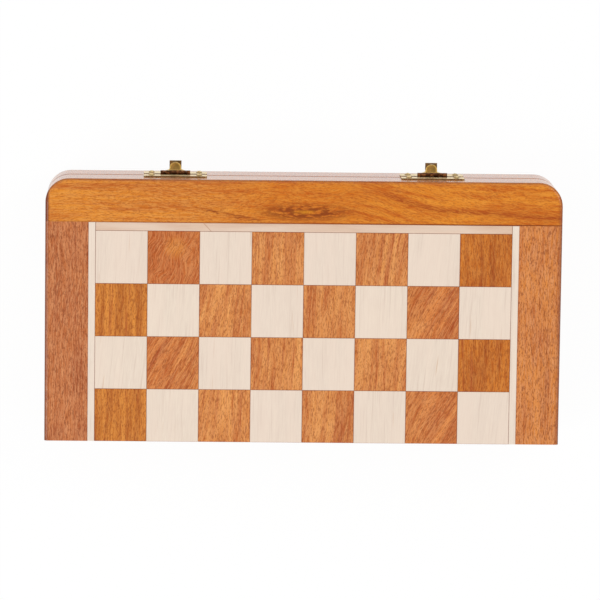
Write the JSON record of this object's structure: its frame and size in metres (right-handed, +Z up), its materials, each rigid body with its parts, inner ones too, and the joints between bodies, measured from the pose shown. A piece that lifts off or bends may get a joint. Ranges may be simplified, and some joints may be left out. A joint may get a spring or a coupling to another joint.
{
  "type": "magnetic folding chess set",
  "caption": "Folding wooden chess box whose two outer faces form the board, with brass hinges and latches and magnetic men in lined trays.",
  "frame": {"origin": "centre of the lower playing face, the face that the closed box rests on", "axes": "+X along the fold, +Y from the fold to the latches, +Z up through the closed box"},
  "size_m": [0.3048, 0.1656, 0.0508],
  "materials": {
    "golden_rail": "gloss lacquer",
    "copper_rail": "gloss lacquer",
    "plywood": "plain",
    "steel_sheet": "mill",
    "pale_maple": "gloss lacquer",
    "dark_veneer": "gloss lacquer",
    "velvet": "short pile",
    "hardware_brass": "aged",
    "magnet": "nickel plate",
    "felt": "felt",
    "light_men": "satin lacquer",
    "dark_men": "satin lacquer"
  },
  "bodies": {
    "lower_half": {"lower_latch_rail": "golden_rail", "lower_left_rail": "copper_rail", "lower_right_rail": "copper_rail", "lower_hinge_rail": "copper_rail", "lower_base_panel": "plywood", "lower_steel_sheet": "steel_sheet", "lower_border_strips": "pale_maple", "lower_light_squares": "pale_maple", "lower_dark_squares": "dark_veneer", "lower_tray_insert": "velvet", "lower_hinge_screws": "hardware_brass", "lower_latch_screws": "hardware_brass", "dark_rook_1": "dark_men", "dark_knight_1": "dark_men", "dark_bishop_1": "dark_men", "dark_queen": "dark_men", "dark_king": "dark_men", "dark_bishop_2": "dark_men", "dark_knight_2": "dark_men", "dark_rook_2": "dark_men", "dark_pawns": "dark_men", "dark_magnets": "magnet", "dark_felts": "felt", "left_hinge_lower_leaf": "hardware_brass", "left_hinge_pin": "hardware_brass", "left_catch_plate": "hardware_brass", "right_hinge_lower_leaf": "hardware_brass", "right_hinge_pin": "hardware_brass", "right_catch_plate": "hardware_brass"},
    "upper_half": {"upper_latch_rail": "golden_rail", "upper_left_rail": "copper_rail", "upper_right_rail": "copper_rail", "upper_hinge_rail": "copper_rail", "upper_base_panel": "plywood", "upper_steel_sheet": "steel_sheet", "upper_border_strips": "pale_maple", "upper_light_squares": "pale_maple", "upper_dark_squares": "dark_veneer", "upper_tray_insert": "velvet", "upper_hinge_screws": "hardware_brass", "upper_latch_screws": "hardware_brass", "light_rook_1": "light_men", "light_knight_1": "light_men", "light_bishop_1": "light_men", "light_queen": "light_men", "light_king": "light_men", "light_bishop_2": "light_men", "light_knight_2": "light_men", "light_rook_2": "light_men", "light_pawns": "light_men", "light_magnets": "magnet", "light_felts": "felt", "left_hinge_upper_leaf": "hardware_brass", "left_hasp_plate": "hardware_brass", "left_latch_pin": "hardware_brass", "right_hinge_upper_leaf": "hardware_brass", "right_hasp_plate": "hardware_brass", "right_latch_pin": "hardware_brass"},
    "left_flap": {"left_latch_flap": "hardware_brass"},
    "right_flap": {"right_latch_flap": "hardware_brass"}
  },
  "joints": [
    {"name": "fold_hinge", "type": "hinge", "parent": "lower_half", "child": "upper_half", "pos_m": [0, -0.07815, 0.0254], "axis": [1, 0, 0], "range_deg": [0, 180]},
    {"name": "left_latch_hinge", "type": "hinge", "parent": "upper_half", "child": "left_flap", "pos_m": [-0.0762, 0.0796, 0.0272], "axis": [1, 0, 0], "range_deg": [0, 150]},
    {"name": "right_latch_hinge", "type": "hinge", "parent": "upper_half", "child": "right_flap", "pos_m": [0.0762, 0.0796, 0.0272], "axis": [1, 0, 0], "range_deg": [0, 150]}
  ]
}
